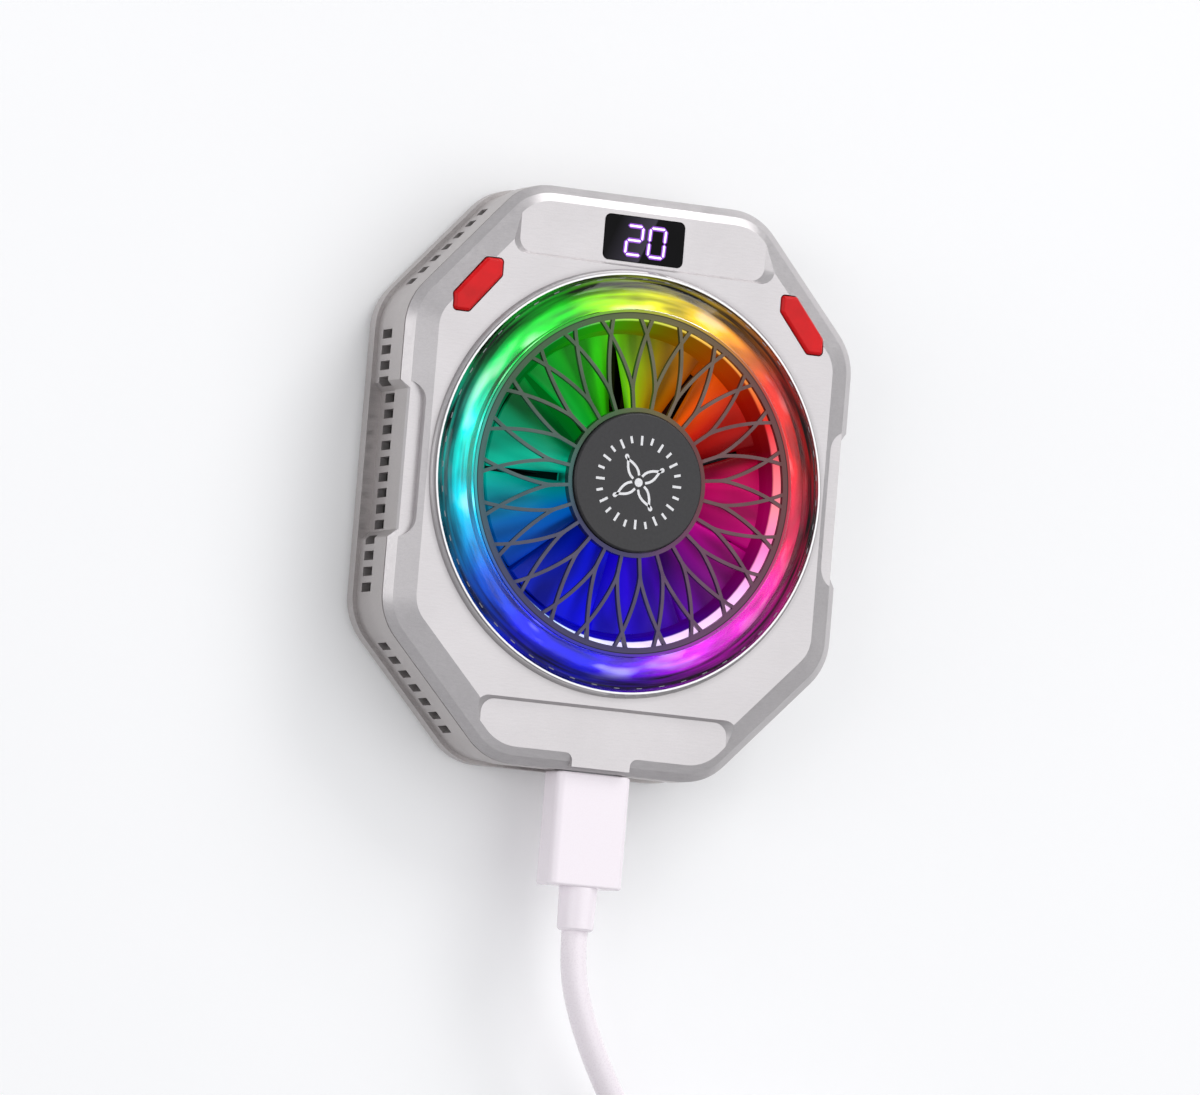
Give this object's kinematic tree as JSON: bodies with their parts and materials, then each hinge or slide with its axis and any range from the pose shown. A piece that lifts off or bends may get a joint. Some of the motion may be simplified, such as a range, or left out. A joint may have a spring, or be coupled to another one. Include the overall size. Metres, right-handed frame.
{
  "type": "phone cooling fan",
  "caption": "Octagonal clip-on phone cooling fan with a lit ring, a guarded impeller, a digit window, two side buttons and a plugged-in lead with its slack coiled.",
  "frame": {"origin": "on the fan axis, at the underside of the contact pad, where the cooler meets the phone or lies on a table; the middle of the housing's outline", "axes": "+Z along the fan axis out of the guard, +Y towards the digit window, so the lead leaves towards -Y"},
  "size_m": [0.0959, 0.1791, 0.0186],
  "materials": {
    "cover": "satin, metallic pale grey",
    "shell": "satin, metallic grey",
    "back": "satin",
    "screws": "satin",
    "pad": "matt silicone",
    "magnets": "nickel plated",
    "yoke": "plain sheet",
    "cold_plate": "fine brushed",
    "ceramic": "matt",
    "legs": "dull",
    "heat_sink": "plain",
    "frame": "matt",
    "bearing": "sintered",
    "stator": "laminated",
    "windings": "enamelled copper",
    "impeller": "milky, lit from beside",
    "rotor_magnet": "moulded ferrite",
    "shaft": "ground",
    "duct": "white",
    "light_ring": "clear, tinted",
    "light_guide": "milky, lit",
    "guard": "satin dark grey",
    "hub_cap": "satin dark grey",
    "board": "solder mask",
    "leds": "lit",
    "board_parts": "matt",
    "window": "gloss black",
    "digits": "dark",
    "buttons": "satin red",
    "plungers": "matt",
    "switches": "plain",
    "port": "plain",
    "plug_metal": "plain",
    "plug": "satin white",
    "relief": "satin white",
    "cord": "smooth white jacket",
    "ties": "woven strip"
  },
  "bodies": {
    "housing": {"front_cover": "cover", "side_shell": "shell", "back_plate": "back", "case_screws": "screws", "contact_pad": "pad", "magnets": "magnets", "magnet_yoke": "yoke", "cold_plate": "cold_plate", "module_ceramics": "ceramic", "module_legs": "legs", "heat_sink": "heat_sink", "clamp_screws": "screws", "fan_frame": "frame", "bearing": "bearing", "stator": "stator", "windings": "windings", "fan_duct": "duct", "light_ring": "light_ring", "light_guide": "light_guide", "fan_guard": "guard", "hub_cap": "hub_cap", "main_board": "board", "leds": "leds", "board_parts": "board_parts", "display_window": "window", "digit_display": "digits", "switches": "switches", "usb_port": "port", "plug_sleeve": "plug_metal", "plug_body": "plug", "plug_relief": "relief", "cable": "cord", "cable_coil": "cord", "cable_tail": "cord", "coil_ties": "ties", "far_plug_relief": "relief", "far_plug_body": "plug", "far_plug_sleeve": "plug_metal"},
    "rotor": {"impeller": "impeller", "rotor_magnet": "rotor_magnet", "fan_shaft": "shaft"},
    "left_button": {"button_left": "buttons", "plunger_left": "plungers"},
    "right_button": {"button_right": "buttons", "plunger_right": "plungers"}
  },
  "joints": [
    {"name": "fan_spin", "type": "hinge", "parent": "housing", "child": "rotor", "pos_m": [0, 0, 0.0108], "axis": [0, 0, 1], "continuous": true},
    {"name": "left_button_press", "type": "slide", "parent": "housing", "child": "left_button", "axis": [0, 0, -1], "range_m": [0, 0.0003], "stiffness_N_per_m": 2000},
    {"name": "right_button_press", "type": "slide", "parent": "housing", "child": "right_button", "axis": [0, 0, -1], "range_m": [0, 0.0003], "stiffness_N_per_m": 2000}
  ]
}
